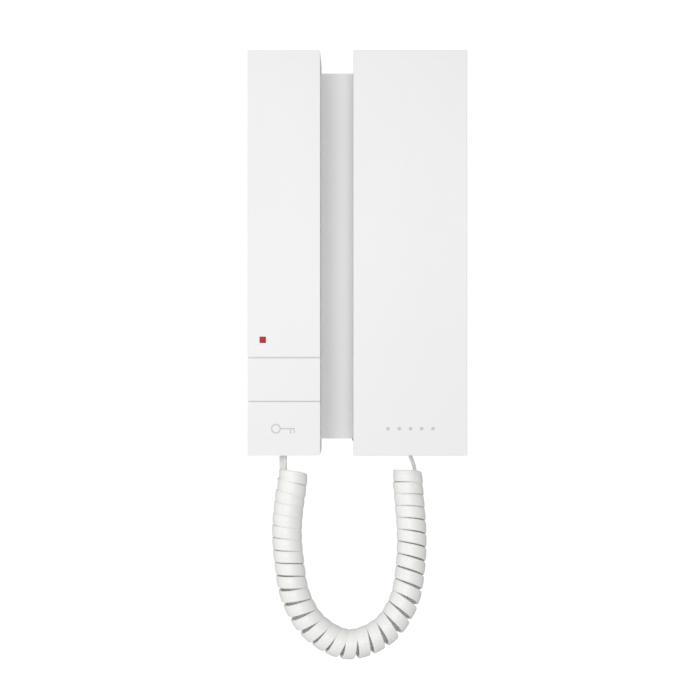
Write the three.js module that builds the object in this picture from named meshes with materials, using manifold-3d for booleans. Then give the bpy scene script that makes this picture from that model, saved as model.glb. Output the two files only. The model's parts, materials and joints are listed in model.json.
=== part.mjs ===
// A slimline wall phone: a column with two keys, a cradle with a lift-off handset beside it, and
// the curly cord that joins them. Millimetres. The wall is the plane y = 0, the front faces -Y and
// +Z is up. The origin is the middle of the wall plate's back face.

import * as THREE from 'three';
import { mergeVertices } from 'three/addons/utils/BufferGeometryUtils.js';
import Module from 'manifold-3d';

const wasm = await Module();
wasm.setup();

// ---------------------------------------------------------------- driving dimensions

const HALF_HEIGHT = 101.5; // of the column and the handset
const FRONT = -41; // front faces of the column and the handset
const WALL = 2.2; // moulded wall thickness
const GAP = 0.3; // between pieces that touch
const CORNER = 0.5; // radius of the mouldings' corners
const CUT = 1; // how far a cutting tool overshoots
const LAP = 1; // how far joined shapes run into each other
const FINE_SIDES = 32; // of large round shapes
const SMALL_SIDES = 10; // of small ones

const COLUMN_X = -36.85; // middle of the column
const COLUMN_HALF = 18.15;
const COVER_SEAM = -36; // where the fascia meets the column's shell
const SHELL_BACK = -1.2; // rear rim of the base shell

const GROOVE = 0.6; // between the fascia and the keys
const UPPER_GROOVE_Z = -52.5;
const LOWER_GROOVE_Z = -74.4;
const KEY_RELIEF = 1.6; // the shell stands back this far under the keys, which is their travel
const PIVOT_Y = -37;
const PIVOT_DROP = 4.8; // from a key's top edge to its pin
const POST_DROP = 10; // from a key's pin to the post that works its switch
const POST_END = -29.2;
const PIN_RADIUS = 1;

const PLINTH_FRONT = -16; // floor of the channel between the column and the handset
const PLINTH_RIGHT = 51.5;
const PLINTH_HALF = 94.5;

const HANDSET_X = 26.5; // middle of the handset
const HANDSET_HALF = 28.5;
const HANDSET_SEAM = -30;
const HANDSET_BACK = -18;
const BOSS_BACK = -9; // faces of the ear and mouth bosses
const EAR = { z: 64, boss: 20, well: 21.5, holes: 6, ring: 8 };
const MOUTH = { z: -66, boss: 16, well: 17.5, holes: 4, ring: 4.5 };
const WELL_FLOOR = -6.5;
const WELL_SKIN = 1.8;

const BOARD_FRONT = -20;
const BOARD_BACK = -18.4;
const MOUNTED = BOARD_FRONT - GAP; // back of everything that stands on the board
const HOOK_Z = 30;
const LED = { x: -10.5, z: -43.55, half: 1.25, guideBack: -27 }; // from the column's middle

const PLUG = { halfX: 3.2, halfY: 3.8, top: -90.2, bottom: -HALF_HEIGHT + GAP, margin: 0.4 };
const BASE_EXIT = { x: -37.8, y: -26.3 };
const HANDSET_EXIT = { x: 27.1, y: -25.7 };

const CORD_WIDTH = 5.9; // flat four-core cord
const CORD_THICKNESS = 1.9;
const COIL_RADIUS = 7.6; // outside of the cord's turns
const COIL_SIDES = 12;
const COIL_STEPS = 44;
const LEAD_SIDES = 8;
const LEAD_STEPS = 4;

// The middle line of the coiled stretch, from the base's end to the handset's end.
const COIL_ROUTE = [
  [-32.3, -31.1, -110.2],
  [-32.6, -31, -114.1],
  [-34.4, -30.6, -125.1],
  [-35.7, -30, -140.2],
  [-34.6, -29.4, -156.3],
  [-31.2, -28.8, -174.4],
  [-21.6, -28, -190],
  [-4.5, -27.4, -198.6],
  [13.4, -27.2, -191.9],
  [23.6, -27.2, -177],
  [27.2, -27.2, -158],
  [27.7, -27.2, -142],
  [26.6, -27.3, -126],
  [25.7, -27.6, -115],
  [25.7, -27.6, -109.3],
];
const BASE_LEAD_ROUTE = [
  [BASE_EXIT.x, BASE_EXIT.y, -101.6],
  [-37.8, -26.3, -105.5],
  [-37.7, -26.4, -109.3],
];
const HANDSET_LEAD_ROUTE = [
  [HANDSET_EXIT.x, HANDSET_EXIT.y, -101.6],
  [27.1, -25.7, -102.6],
  [28, -24.4, -105],
  [28.8, -23.3, -107.2],
];

// ---------------------------------------------------------------- finishes

const FINISHES = {
  shell: { color: 0xf1f1ef, roughness: 0.42, metalness: 0 },
  plate: { color: 0xd9d9d4, roughness: 0.6, metalness: 0 },
  cord: { color: 0xf4f3ee, roughness: 0.5, metalness: 0 },
  lens: { color: 0xc4342f, roughness: 0.2, metalness: 0 },
  board: { color: 0x2f6b46, roughness: 0.5, metalness: 0 },
  dark: { color: 0x26272a, roughness: 0.5, metalness: 0 },
  terminal: { color: 0x4f8f5f, roughness: 0.5, metalness: 0 },
  clear: { color: 0xe6e8e6, roughness: 0.15, metalness: 0 },
  rubber: { color: 0x3a3b3d, roughness: 0.85, metalness: 0 },
  steel: { color: 0xb9bcc0, roughness: 0.35, metalness: 1 },
};

// ---------------------------------------------------------------- shapes

/** A box between its lowest and highest corners. */
function block(low, high) {
  const size = high.map((value, axis) => value - low[axis]);
  const middle = high.map((value, axis) => (value + low[axis]) / 2);
  return new THREE.BoxGeometry(...size).translate(...middle);
}

/** A box whose outline, seen from the front, has rounded corners. */
function slab(low, high, radius = CORNER) {
  const [halfX, , halfZ] = high.map((value, axis) => (value - low[axis]) / 2);
  const outline = new THREE.Shape();
  outline.moveTo(-halfX + radius, -halfZ);
  outline.absarc(halfX - radius, -halfZ + radius, radius, -Math.PI / 2, 0);
  outline.absarc(halfX - radius, halfZ - radius, radius, 0, Math.PI / 2);
  outline.absarc(-halfX + radius, halfZ - radius, radius, Math.PI / 2, Math.PI);
  outline.absarc(-halfX + radius, -halfZ + radius, radius, Math.PI, Math.PI * 1.5);
  const options = { depth: high[1] - low[1], bevelEnabled: false, curveSegments: 3 };
  const geometry = new THREE.ExtrudeGeometry(outline, options);
  geometry.rotateX(Math.PI / 2);
  return geometry.translate((low[0] + high[0]) / 2, high[1], (low[2] + high[2]) / 2);
}

/** A round bar along 'x', 'y' or 'z' between two places on that axis. */
function bar(axis, radius, from, to, centre, sides = 12) {
  const geometry = new THREE.CylinderGeometry(radius, radius, to - from, sides);
  const middle = (from + to) / 2;
  if (axis === 'x') return geometry.rotateZ(Math.PI / 2).translate(middle, ...centre);
  if (axis === 'z') return geometry.rotateX(Math.PI / 2).translate(...centre, middle);
  return geometry.translate(centre[0], middle, centre[1]);
}

/** A body turned about a line along Y: each point is [radius, y], and both ends are on the line. */
function turned(profile, [x, z], sides = 24) {
  const points = profile.map(([radius, y]) => new THREE.Vector2(radius, y));
  return new THREE.LatheGeometry(points, sides).translate(x, 0, z);
}

/** A section swept along a smooth route. */
function swept(route, section, steps) {
  const extrudePath = new THREE.CatmullRomCurve3(route.map((point) => new THREE.Vector3(...point)));
  return new THREE.ExtrudeGeometry(section, { steps, extrudePath, curveSegments: 1 });
}

/** An oval section with a given number of sides, turned by an angle. */
function oval(halfWidth, halfThickness, sides, turn = 0) {
  const points = [];
  for (let side = 0; side < sides; side += 1) {
    const angle = (2 * Math.PI * (side + 0.5)) / sides;
    const point = new THREE.Vector2(halfWidth * Math.cos(angle), halfThickness * Math.sin(angle));
    points.push(point.rotateAround(new THREE.Vector2(), turn));
  }
  return new THREE.Shape(points);
}

// ---------------------------------------------------------------- joins and cuts

/** The triangles of an indexed geometry that have three different corners, facing outwards. */
function soundTriangles(geometry) {
  const index = geometry.index.array;
  const position = geometry.attributes.position;
  const corners = [new THREE.Vector3(), new THREE.Vector3(), new THREE.Vector3()];
  const kept = [];
  let volume = 0;
  for (let i = 0; i < index.length; i += 3) {
    const [a, b, c] = [index[i], index[i + 1], index[i + 2]];
    if (a === b || b === c || c === a) continue;
    [a, b, c].forEach((vertex, place) => corners[place].fromBufferAttribute(position, vertex));
    volume += corners[0].dot(corners[1].clone().cross(corners[2]));
    kept.push(a, b, c);
  }
  return Uint32Array.from(volume > 0 ? kept : kept.reverse());
}

function toSolid(geometry) {
  const plain = geometry.clone();
  plain.deleteAttribute('normal');
  plain.deleteAttribute('uv');
  const merged = mergeVertices(plain);
  const vertProperties = new Float32Array(merged.attributes.position.array);
  const triVerts = soundTriangles(merged);
  return new wasm.Manifold(new wasm.Mesh({ numProp: 3, vertProperties, triVerts }));
}

function toGeometry(solid) {
  const mesh = solid.getMesh();
  const geometry = new THREE.BufferGeometry();
  geometry.setAttribute('position', new THREE.BufferAttribute(mesh.vertProperties, 3));
  geometry.setIndex(new THREE.BufferAttribute(mesh.triVerts, 1));
  geometry.computeVertexNormals();
  return geometry;
}

function join(...pieces) {
  return toGeometry(pieces.map(toSolid).reduce((whole, piece) => whole.add(piece)));
}

function cut(body, ...tools) {
  return toGeometry(tools.map(toSolid).reduce((rest, tool) => rest.subtract(tool), toSolid(body)));
}

// ---------------------------------------------------------------- assembly

const group = new THREE.Group();
const column = new THREE.Group();
const handset = new THREE.Group();
column.position.x = COLUMN_X;
handset.position.x = HANDSET_X;
group.add(column, handset);

function place(parent, name, finish, geometry, position = [0, 0, 0]) {
  const material = new THREE.MeshStandardMaterial(FINISHES[finish]);
  const mesh = new THREE.Mesh(toGeometry(toSolid(geometry)), material);
  mesh.name = name;
  mesh.position.set(...position);
  parent.add(mesh);
}

// ---------------------------------------------------------------- wall plate

const PLATE = { left: -52.3, right: 48.8, half: 91.8, skin: 2.5, rim: 4.4, rimWall: 2 };
const CABLE_ENTRY = { x: -36, z: 35, halfX: 9, halfZ: 15, corner: 3 };
const SCREW_HOLES = { x: -2, halfX: 30, halfZ: 60, radius: 2.3 };
const LOCK = { x: 0, y: -5.5, hole: 1.6, tabHalf: 4, tabFront: -8, tabHeight: 3 };
const LOCK_SCREW = { head: 2.6, headHeight: 1.4, reach: 5 };

function wallPlate() {
  const { left, right, half, skin, rim, rimWall } = PLATE;
  const { x, z, halfX, halfZ, corner } = CABLE_ENTRY;
  const tools = [
    block([left + rimWall, -rim - CUT, -half + rimWall], [right - rimWall, -skin, half - rimWall]),
    slab([x - halfX, -rim, z - halfZ], [x + halfX, CUT, z + halfZ], corner),
  ];
  for (const side of [-1, 1]) {
    for (const end of [-1, 1]) {
      const centre = [SCREW_HOLES.x + side * SCREW_HOLES.halfX, end * SCREW_HOLES.halfZ];
      tools.push(bar('y', SCREW_HOLES.radius, -rim, CUT, centre));
    }
  }
  const tray = cut(block([left, -rim, -half], [right, 0, half]), ...tools);
  const { tabHalf, tabFront, tabHeight } = LOCK;
  const lockTab = block(
    [LOCK.x - tabHalf, tabFront, -half],
    [LOCK.x + tabHalf, -skin + LAP, -half + tabHeight],
  );
  const lockHole = bar('z', LOCK.hole, -half - CUT, -half + tabHeight + CUT, [LOCK.x, LOCK.y]);
  return cut(join(tray, lockTab), lockHole);
}

place(group, 'wall_plate', 'plate', wallPlate());

// ---------------------------------------------------------------- base shell

const BOARD_BOSSES = [
  { x: -12.15, z: 91, side: -1 },
  { x: 12.15, z: 91, side: 1 },
  { x: -12.15, z: -27, side: -1 },
];
const BOARD_BOSS_HALF = 3;
const BOARD_SCREW = { shaft: 1.2, head: 2.4, headHeight: 1.6, tip: -11.5 };
const SOUND_SLOTS = { count: 5, pitch: 3.2, halfLength: 7, halfWidth: 0.8, firstY: -30 };
const HOOK_HOLE = { halfX: 4.6, halfZ: 2.6 };

function boardBoss({ x, z, side }) {
  const wallX = COLUMN_X + side * (COLUMN_HALF - WALL / 2);
  const innerX = COLUMN_X + x - side * BOARD_BOSS_HALF;
  return block(
    [Math.min(wallX, innerX), BOARD_BACK + GAP, z - BOARD_BOSS_HALF],
    [Math.max(wallX, innerX), BOARD_SCREW.tip + LAP, z + BOARD_BOSS_HALF],
  );
}

function columnTube() {
  const [left, right] = [COLUMN_X - COLUMN_HALF, COLUMN_X + COLUMN_HALF];
  const outer = slab([left, COVER_SEAM, -HALF_HEIGHT], [right, SHELL_BACK, HALF_HEIGHT]);
  const keyRelief = block(
    [left - CUT, COVER_SEAM - CUT, -HALF_HEIGHT - CUT],
    [right + CUT, COVER_SEAM + KEY_RELIEF, UPPER_GROOVE_Z],
  );
  const hollow = block(
    [left + WALL, COVER_SEAM - CUT, -HALF_HEIGHT + WALL],
    [right - WALL, SHELL_BACK - WALL, HALF_HEIGHT - WALL],
  );
  const plateOpening = block(
    [left + WALL, SHELL_BACK - 2 * WALL, -PLINTH_HALF + WALL],
    [right - WALL, CUT, PLINTH_HALF - WALL],
  );
  return cut(outer, keyRelief, hollow, plateOpening);
}

function plinth() {
  const left = COLUMN_X + COLUMN_HALF - WALL;
  const outer = slab([left, PLINTH_FRONT, -PLINTH_HALF], [PLINTH_RIGHT, SHELL_BACK, PLINTH_HALF]);
  const hollow = block(
    [left + WALL, PLINTH_FRONT + WALL, -PLINTH_HALF + WALL],
    [PLINTH_RIGHT - WALL, CUT, PLINTH_HALF - WALL],
  );
  return cut(outer, hollow);
}

function wellCup({ z, well }) {
  const back = WELL_FLOOR + WELL_SKIN;
  return bar('y', well + WELL_SKIN, PLINTH_FRONT + LAP, back, [HANDSET_X, z], FINE_SIDES);
}

function wellTool({ z, well }) {
  return bar('y', well, PLINTH_FRONT - CUT, WELL_FLOOR, [HANDSET_X, z], FINE_SIDES);
}

function plugCutout({ x, y }) {
  const [halfX, halfY] = [PLUG.halfX + PLUG.margin, PLUG.halfY + PLUG.margin];
  return block(
    [x - halfX, y - halfY, -HALF_HEIGHT - CUT],
    [x + halfX, y + halfY, -HALF_HEIGHT + WALL + CUT],
  );
}

function soundSlots() {
  const { count, pitch, halfLength, halfWidth, firstY } = SOUND_SLOTS;
  return Array.from({ length: count }, (_, slot) => {
    const y = firstY + slot * pitch;
    return block(
      [COLUMN_X - halfLength, y - halfWidth, HALF_HEIGHT - WALL - CUT],
      [COLUMN_X + halfLength, y + halfWidth, HALF_HEIGHT + CUT],
    );
  });
}

function baseShell() {
  const wireWay = block(
    [COLUMN_X + COLUMN_HALF - WALL - CUT, PLINTH_FRONT + WALL, -PLINTH_HALF + WALL],
    [COLUMN_X + COLUMN_HALF + CUT, CUT, PLINTH_HALF - WALL],
  );
  const hookHole = block(
    [HANDSET_X - HOOK_HOLE.halfX, PLINTH_FRONT - CUT, HOOK_Z - HOOK_HOLE.halfZ],
    [HANDSET_X + HOOK_HOLE.halfX, PLINTH_FRONT + WALL + CUT, HOOK_Z + HOOK_HOLE.halfZ],
  );
  const lockHole = bar('z', LOCK.hole, -PLINTH_HALF - CUT, -PLINTH_HALF + WALL + CUT, [LOCK.x, LOCK.y]);
  const screwHoles = BOARD_BOSSES.map(({ x, z }) =>
    bar('y', BOARD_SCREW.shaft + GAP, BOARD_FRONT, BOARD_SCREW.tip + LAP + CUT, [COLUMN_X + x, z]),
  );
  return cut(
    join(columnTube(), plinth(), wellCup(EAR), wellCup(MOUTH), ...BOARD_BOSSES.map(boardBoss)),
    wireWay,
    wellTool(EAR),
    wellTool(MOUTH),
    hookHole,
    lockHole,
    plugCutout(BASE_EXIT),
    ...screwHoles,
    ...soundSlots(),
  );
}

function lockScrew() {
  const seat = -PLINTH_HALF - GAP;
  const { head, headHeight, reach } = LOCK_SCREW;
  return join(
    bar('z', head, seat - headHeight, seat, [0, 0]),
    bar('z', LOCK.hole - GAP, seat - headHeight + LAP, -PLATE.half + reach, [0, 0]),
  );
}

place(group, 'base_shell', 'shell', baseShell());
place(group, 'base_lock_screw', 'steel', lockScrew(), [LOCK.x, LOCK.y, 0]);

// ---------------------------------------------------------------- column covers and keys

const CLIP = { zs: [-30, 70], length: 9, thickness: 1.2, reach: 3 };
const EAR_HALF = 2; // half height of the ears that a pin passes through
const EAR_THICKNESS = 2;
const EAR_RISE = 1.5; // of the frame's ears in front of the pin
const KEY_EAR_X = 11.65; // from the column's middle to the inner face of a key's ear
const FRAME_EAR_X = 7.5;
const PIN_HALF = 14.4;
const POST_HALF = 1.5;
const POST_WAY = 3; // half width of the frame's hole for a post
const UPPER_KEY = { top: UPPER_GROOVE_Z - GROOVE / 2, bottom: LOWER_GROOVE_Z + GROOVE / 2, postX: 0 };
const LOWER_KEY = { top: LOWER_GROOVE_Z - GROOVE / 2, bottom: -HALF_HEIGHT, postX: 9.5 };
const KEYS = { upper: UPPER_KEY, lower: LOWER_KEY };

/** A cover of the column: a shallow tray, open at the back, between two heights. */
function cover(bottom, top) {
  const back = COVER_SEAM - GAP;
  const inner = COLUMN_HALF - WALL;
  return cut(
    slab([-COLUMN_HALF, FRONT, bottom], [COLUMN_HALF, back, top]),
    block([-inner, FRONT + WALL, bottom + WALL], [inner, back + CUT, top - WALL]),
  );
}

function fascia() {
  const clips = CLIP.zs.flatMap((z) =>
    [-1, 1].map((side) => {
      const outer = side * (COLUMN_HALF - WALL - GAP);
      const inner = outer - side * CLIP.thickness;
      return block(
        [Math.min(outer, inner), FRONT + WALL / 2, z],
        [Math.max(outer, inner), COVER_SEAM + CLIP.reach, z + CLIP.length],
      );
    }),
  );
  const window = block(
    [LED.x - LED.half - GAP, FRONT - CUT, LED.z - LED.half - GAP],
    [LED.x + LED.half + GAP, FRONT + WALL + CUT, LED.z + LED.half + GAP],
  );
  return cut(join(cover(UPPER_GROOVE_Z + GROOVE / 2, HALF_HEIGHT), ...clips), window);
}

/** Two ears, one each side of the middle, that a pin passes through at y = 0, z = 0. */
function ears(innerX, from, to) {
  return [-1, 1].map((side) => {
    const [near, far] = [side * innerX, side * (innerX + EAR_THICKNESS)];
    return block([Math.min(near, far), from, -EAR_HALF], [Math.max(near, far), to, EAR_HALF]);
  });
}

function pinHole() {
  return bar('x', PIN_RADIUS + GAP, -COLUMN_HALF + WALL + CUT, COLUMN_HALF - WALL - CUT, [0, 0]);
}

/** A key, in a frame whose origin is the middle of its pin. */
function key({ top, bottom, postX }) {
  const pivotZ = top - PIVOT_DROP;
  const cap = cover(bottom, top).translate(0, -PIVOT_Y, -pivotZ);
  const faceInside = FRONT + WALL / 2 - PIVOT_Y;
  const post = block(
    [postX - POST_HALF, faceInside, -POST_DROP - POST_HALF],
    [postX + POST_HALF, POST_END - PIVOT_Y, -POST_DROP + POST_HALF],
  );
  return cut(join(cap, post, ...ears(KEY_EAR_X, faceInside, EAR_HALF)), pinHole());
}

const FRAME_PLATE = { front: -34.2, back: -32.7, top: -50.5, bottom: -98.9 };

/** The frame under the keys, which holds their pins and lets their posts through. */
function keyFrame() {
  const halfX = COLUMN_HALF - WALL - GAP;
  const { front, back, top, bottom } = FRAME_PLATE;
  const added = [];
  const tools = [];
  for (const { top: keyTop, postX } of Object.values(KEYS)) {
    const pivotZ = keyTop - PIVOT_DROP;
    const postZ = pivotZ - POST_DROP;
    for (const ear of ears(FRAME_EAR_X, -EAR_RISE, front - PIVOT_Y + LAP)) {
      added.push(ear.translate(0, PIVOT_Y, pivotZ));
    }
    tools.push(pinHole().translate(0, PIVOT_Y, pivotZ));
    tools.push(block(
      [postX - POST_WAY, front - CUT, postZ - POST_WAY],
      [postX + POST_WAY, back + CUT, postZ + POST_WAY],
    ));
  }
  return cut(join(block([-halfX, front, bottom], [halfX, back, top]), ...added), ...tools);
}

place(column, 'column_fascia', 'shell', fascia());
place(column, 'key_frame', 'dark', keyFrame());

for (const [name, shape] of Object.entries(KEYS)) {
  const pivot = new THREE.Group();
  pivot.position.set(0, PIVOT_Y, shape.top - PIVOT_DROP);
  column.add(pivot);
  place(pivot, `key_${name}`, 'shell', key(shape));
  place(pivot, `key_pin_${name}`, 'steel', bar('x', PIN_RADIUS, -PIN_HALF, PIN_HALF, [0, 0]));
}

// ---------------------------------------------------------------- board and what stands on it

const BOARD = { halfX: 14.4, top: 98, bottom: -98 };
const SWITCH = { half: 3, front: -26, stem: 1.75, stemTip: -28.9, stemFoot: -24, well: -22.9 };
const TERMINAL = { left: -4, right: 8, front: -31, bottom: 20, ways: 5, pitch: 5 };
const TERMINAL_SCREW = { x: -0.5, radius: 1.7, depth: 4 };
const TERMINAL_WIRE = { front: -26, back: -23, half: 1.5, depth: 5 };
const TRANSFORMER = { z: -15, front: -31, coreHalf: 7, windingX: 9, windingZ: 4.5, step: 2 };
const CAPACITOR = { x: -9, z: 4, radius: 4, front: -31, sides: 16 };
const CHIP = { halfX: 4, bottom: -46, top: -36, height: 1.6 };
const SPEAKER_Z = 72;
const SPEAKER_OUTLINE = [
  [0, -28.8],
  [9, -30.2],
  [12, -29.4],
  [12.6, -31],
  [14, -31],
  [14, -29],
  [10, -26],
  [10, MOUNTED],
  [0, MOUNTED],
];
const LAMP_OUTLINE = [
  [0, -26.7],
  [0.9, -26.4],
  [1.5, -25.4],
  [1.5, -21.6],
  [1.9, -21.6],
  [1.9, MOUNTED],
  [0, MOUNTED],
];

function mainBoard() {
  const { halfX, top, bottom } = BOARD;
  const holes = BOARD_BOSSES.map(({ x, z }) =>
    bar('y', BOARD_SCREW.shaft + GAP, BOARD_FRONT - CUT, BOARD_BACK + CUT, [x, z]),
  );
  return cut(block([-halfX, BOARD_FRONT, bottom], [halfX, BOARD_BACK, top]), ...holes);
}

function boardScrew() {
  const headFront = MOUNTED - BOARD_SCREW.headHeight;
  return join(
    bar('y', BOARD_SCREW.head, headFront, MOUNTED, [0, 0]),
    bar('y', BOARD_SCREW.shaft, headFront + LAP, BOARD_SCREW.tip, [0, 0], SMALL_SIDES),
  );
}

function switchBody() {
  const { half, front, stem, well } = SWITCH;
  return cut(
    block([-half, front, -half], [half, MOUNTED, half]),
    bar('y', stem + GAP, front - CUT, well, [0, 0]),
  );
}

function switchStem() {
  return bar('y', SWITCH.stem, SWITCH.stemTip, SWITCH.stemFoot, [0, 0]);
}

function terminalBlock() {
  const { left, right, front, bottom, ways, pitch } = TERMINAL;
  const { x, radius, depth } = TERMINAL_SCREW;
  const wire = TERMINAL_WIRE;
  const tools = [];
  for (let way = 0; way < ways; way += 1) {
    const z = bottom + (way + 0.5) * pitch;
    tools.push(bar('y', radius, front - CUT, front + depth, [x, z], SMALL_SIDES));
    tools.push(block(
      [right - wire.depth, wire.front, z - wire.half],
      [right + CUT, wire.back, z + wire.half],
    ));
  }
  return cut(block([left, front, bottom], [right, MOUNTED, bottom + ways * pitch]), ...tools);
}

function callSpeaker() {
  return turned(SPEAKER_OUTLINE, [0, SPEAKER_Z]);
}

function lineTransformer() {
  const { z, front, coreHalf, windingX, windingZ, step } = TRANSFORMER;
  const core = block([-coreHalf, front, z - coreHalf], [coreHalf, MOUNTED, z + coreHalf]);
  const winding = block([-windingX, front + step, z - windingZ], [windingX, MOUNTED - LAP, z + windingZ]);
  return join(core, winding);
}

function capacitor() {
  const { x, z, radius, front, sides } = CAPACITOR;
  return bar('y', radius, front, MOUNTED, [x, z], sides);
}

function controllerChip() {
  const { halfX, bottom, top, height } = CHIP;
  return block([-halfX, MOUNTED - height, bottom], [halfX, MOUNTED, top]);
}

function lightGuide() {
  const { x, z, half, guideBack } = LED;
  return block([x - half, FRONT, z - half], [x + half, guideBack, z + half]);
}

function lamp() {
  return turned(LAMP_OUTLINE, [LED.x, LED.z], 12);
}

place(column, 'main_board', 'board', mainBoard());
BOARD_BOSSES.forEach(({ x, z }, number) => {
  place(column, `board_screw_${number + 1}`, 'steel', boardScrew(), [x, 0, z]);
});
for (const [name, { top, postX }] of Object.entries(KEYS)) {
  const spot = [postX, 0, top - PIVOT_DROP - POST_DROP];
  place(column, `key_switch_${name}`, 'dark', switchBody(), spot);
  place(column, `switch_stem_${name}`, 'clear', switchStem(), spot);
}
place(column, 'terminal_block', 'terminal', terminalBlock());
place(column, 'call_speaker', 'dark', callSpeaker());
place(column, 'line_transformer', 'dark', lineTransformer());
place(column, 'capacitor', 'dark', capacitor());
place(column, 'controller_chip', 'dark', controllerChip());
place(column, 'led_lens', 'lens', lightGuide());
place(column, 'led', 'clear', lamp());

// ---------------------------------------------------------------- cradle

const HOOK = { halfX: 4, halfZ: 2, tip: HANDSET_BACK + GAP, foot: -7.5, corner: 0.8 };
const HOOK_SWITCH = { front: -13.3, back: -4, well: -6, skin: 2 };
const KEEPER = { halfX: 11, halfZ: 8, thickness: 1.2 };
const PAD = { halfX: 9, halfZ: 1.8, corner: 1.6, upperZ: 88.5, lowerZ: -86.5 };

function hookSwitch() {
  const { front, back, well, skin } = HOOK_SWITCH;
  const [innerX, innerZ] = [HOOK.halfX + GAP, HOOK.halfZ + GAP];
  return cut(
    block([-innerX - skin, front, -innerZ - skin], [innerX + skin, back, innerZ + skin]),
    block([-innerX, front - CUT, -innerZ], [innerX, well, innerZ]),
  );
}

function hookPlunger() {
  const { halfX, halfZ, tip, foot, corner } = HOOK;
  return slab([-halfX, tip, -halfZ], [halfX, foot, halfZ], corner);
}

function keeperPlate() {
  const { halfX, halfZ, thickness } = KEEPER;
  const front = PLINTH_FRONT + WALL + GAP;
  return block([-halfX, front, -halfZ], [halfX, front + thickness, halfZ]);
}

function cradlePad() {
  const { halfX, halfZ, corner } = PAD;
  return slab([-halfX, HANDSET_BACK + GAP, -halfZ], [halfX, PLINTH_FRONT - GAP, halfZ], corner);
}

place(handset, 'hook_switch', 'dark', hookSwitch(), [0, 0, HOOK_Z]);
place(handset, 'hook_plunger', 'plate', hookPlunger(), [0, 0, HOOK_Z]);
place(handset, 'keeper_plate', 'steel', keeperPlate());
place(handset, 'cradle_pad_upper', 'rubber', cradlePad(), [0, 0, PAD.upperZ]);
place(handset, 'cradle_pad_lower', 'rubber', cradlePad(), [0, 0, PAD.lowerZ]);

// ---------------------------------------------------------------- handset

const HANDSET_SCREW = { z: 40, shaft: 1.1, head: 2.7, headHeight: 1.5, seat: -20.1, tip: -35 };
const SCREW_POST = { radius: 3.2, back: -24.8 };
const SCREW_SEAT = { wall: 2, front: -24.5 };
const SCREW_TUNNEL = { front: -36, middle: -24.3, back: HANDSET_BACK };
const GRILLE_HOLE = 1.1;
const GRILLE_SIDES = 14;

function handsetFront() {
  const shell = cut(
    slab([-HANDSET_HALF, FRONT, -HALF_HEIGHT], [HANDSET_HALF, HANDSET_SEAM, HALF_HEIGHT]),
    block(
      [-HANDSET_HALF + WALL, FRONT + WALL, -HALF_HEIGHT + WALL],
      [HANDSET_HALF - WALL, HANDSET_SEAM + CUT, HALF_HEIGHT - WALL],
    ),
  );
  const { z, shaft } = HANDSET_SCREW;
  const { front, middle } = SCREW_TUNNEL;
  const posts = [-z, z].map((at) =>
    bar('y', SCREW_POST.radius, FRONT + WALL / 2, SCREW_POST.back, [0, at]),
  );
  const holes = [-z, z].map((at) => bar('y', shaft + GAP, front, middle, [0, at], SMALL_SIDES));
  return cut(join(shell, ...posts), ...holes);
}

/** Tools for a round grille: one hole in the middle and a ring of holes round it. */
function grille({ z, holes, ring }) {
  const centres = [[0, z]];
  for (let hole = 0; hole < holes; hole += 1) {
    const angle = (2 * Math.PI * hole) / holes;
    centres.push([ring * Math.cos(angle), z + ring * Math.sin(angle)]);
  }
  const [front, back] = [BOSS_BACK - WALL - CUT, BOSS_BACK + CUT];
  return centres.map((centre) => bar('y', GRILLE_HOLE, front, back, centre, GRILLE_SIDES));
}

function handsetBack() {
  const bosses = [EAR, MOUTH].map(({ z, boss }) =>
    bar('y', boss, HANDSET_BACK - LAP, BOSS_BACK, [0, z], FINE_SIDES),
  );
  const hollows = [EAR, MOUTH].map(({ z, boss }) =>
    bar('y', boss - WALL, HANDSET_BACK - WALL - CUT, BOSS_BACK - WALL, [0, z], FINE_SIDES),
  );
  const { z, shaft, head, seat } = HANDSET_SCREW;
  const seats = [-z, z].map((at) =>
    bar('y', head + SCREW_SEAT.wall, SCREW_SEAT.front, HANDSET_BACK - LAP, [0, at]),
  );
  const sinks = [-z, z].map((at) => bar('y', head + GAP, seat - GAP, HANDSET_BACK + CUT, [0, at]));
  const holes = [-z, z].map((at) =>
    bar('y', shaft + GAP, SCREW_SEAT.front - CUT, SCREW_TUNNEL.back, [0, at], SMALL_SIDES),
  );
  const shell = cut(
    slab([-HANDSET_HALF, HANDSET_SEAM + GAP, -HALF_HEIGHT], [HANDSET_HALF, HANDSET_BACK, HALF_HEIGHT]),
    block(
      [-HANDSET_HALF + WALL, HANDSET_SEAM, -HALF_HEIGHT + WALL],
      [HANDSET_HALF - WALL, HANDSET_BACK - WALL, HALF_HEIGHT - WALL],
    ),
  );
  const exit = { x: HANDSET_EXIT.x - HANDSET_X, y: HANDSET_EXIT.y };
  const solid = join(shell, ...bosses, ...seats);
  return cut(solid, ...hollows, ...sinks, ...holes, plugCutout(exit), ...grille(EAR), ...grille(MOUTH));
}

function handsetScrew() {
  const { shaft, head, headHeight, tip, seat } = HANDSET_SCREW;
  return join(
    bar('y', head, seat, seat + headHeight, [0, 0]),
    bar('y', shaft, tip, seat + LAP, [0, 0], SMALL_SIDES),
  );
}

const GASKET_BACK = BOSS_BACK - WALL - GAP;
const EAR_SPEAKER = { back: -13.2, radius: 16 };
const EAR_SPEAKER_OUTLINE = [
  [0, -22.2],
  [7, -22.2],
  [7, -18.7],
  [16, -18.2],
  [16, -13.2],
  [13, -13.2],
  [12, -14.4],
  [0, -14],
];
const GASKET_HOLE = 12;

function earSpeaker() {
  return turned(EAR_SPEAKER_OUTLINE, [0, EAR.z]);
}

function earGasket() {
  const front = EAR_SPEAKER.back + GAP;
  const centre = [0, EAR.z];
  return cut(
    bar('y', EAR_SPEAKER.radius, front, GASKET_BACK, centre, 24),
    bar('y', GASKET_HOLE, front - CUT, GASKET_BACK + CUT, centre, 24),
  );
}

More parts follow.
